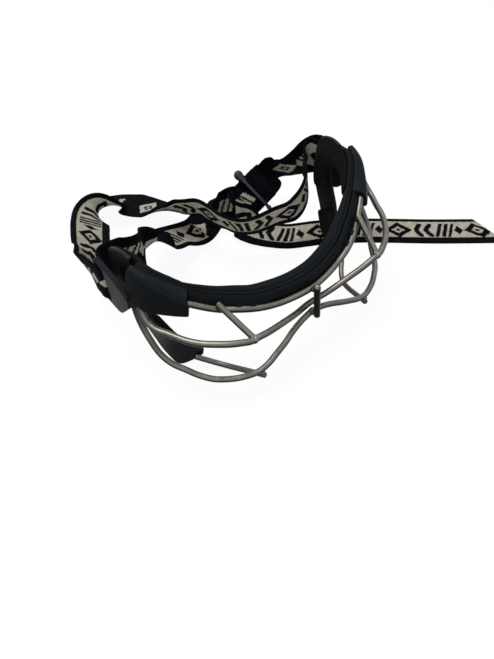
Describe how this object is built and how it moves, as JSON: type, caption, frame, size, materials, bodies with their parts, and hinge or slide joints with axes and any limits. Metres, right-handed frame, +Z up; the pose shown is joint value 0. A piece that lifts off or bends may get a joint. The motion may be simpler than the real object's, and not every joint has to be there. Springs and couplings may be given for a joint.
{
  "type": "wire cage sports goggles",
  "caption": "Wire-cage sports goggles: bent wires on a rubber brow frame, temple housings, side frames with pads, and a webbing head strap with a sliding adjuster.",
  "frame": {"origin": "on the table, under the middle of the goggles without their strap", "axes": "+X is the wearer's left, -Y is where the wearer looks, +Z is up from the cheek pads to the brow; metres"},
  "size_m": [0.2734, 0.2201, 0.0756],
  "materials": {
    "wire": "pewter-coloured metallic coat on bent steel wire",
    "rail_rubber": "satin moulded rubber with mould lines",
    "frame_plastic": "fine matt moulded plastic",
    "foam": "closed-cell foam with a rough skin",
    "webbing": "woven elastic webbing in navy and cream",
    "slider_plastic": "moulded plastic"
  },
  "bodies": {
    "goggles": {"brow_wire": "wire", "centre_wire": "wire", "nose_post": "wire", "brow_frame": "rail_rubber", "brow_pad": "rail_rubber", "left_side_wire": "wire", "left_lower_wire": "wire", "left_upper_strut": "wire", "left_lower_strut": "wire", "left_inner_sleeve": "rail_rubber", "left_outer_sleeve": "rail_rubber", "left_temple_housing": "rail_rubber", "left_side_frame": "frame_plastic", "left_temple_pad": "foam", "left_cheek_pad": "foam", "right_side_wire": "wire", "right_lower_wire": "wire", "right_upper_strut": "wire", "right_lower_strut": "wire", "right_inner_sleeve": "rail_rubber", "right_outer_sleeve": "rail_rubber", "right_temple_housing": "rail_rubber", "right_side_frame": "frame_plastic", "right_temple_pad": "foam", "right_cheek_pad": "foam", "strap_front_band": "webbing", "strap_return_run": "webbing", "strap_upper_run": "webbing", "strap_tail": "webbing"},
    "slider": {"strap_slider": "slider_plastic"}
  },
  "joints": [
    {"name": "slider_slide", "type": "slide", "parent": "goggles", "child": "slider", "axis": [0.8285, -0.1096, 0.5491], "range_m": [-0.004, 0.004]}
  ]
}
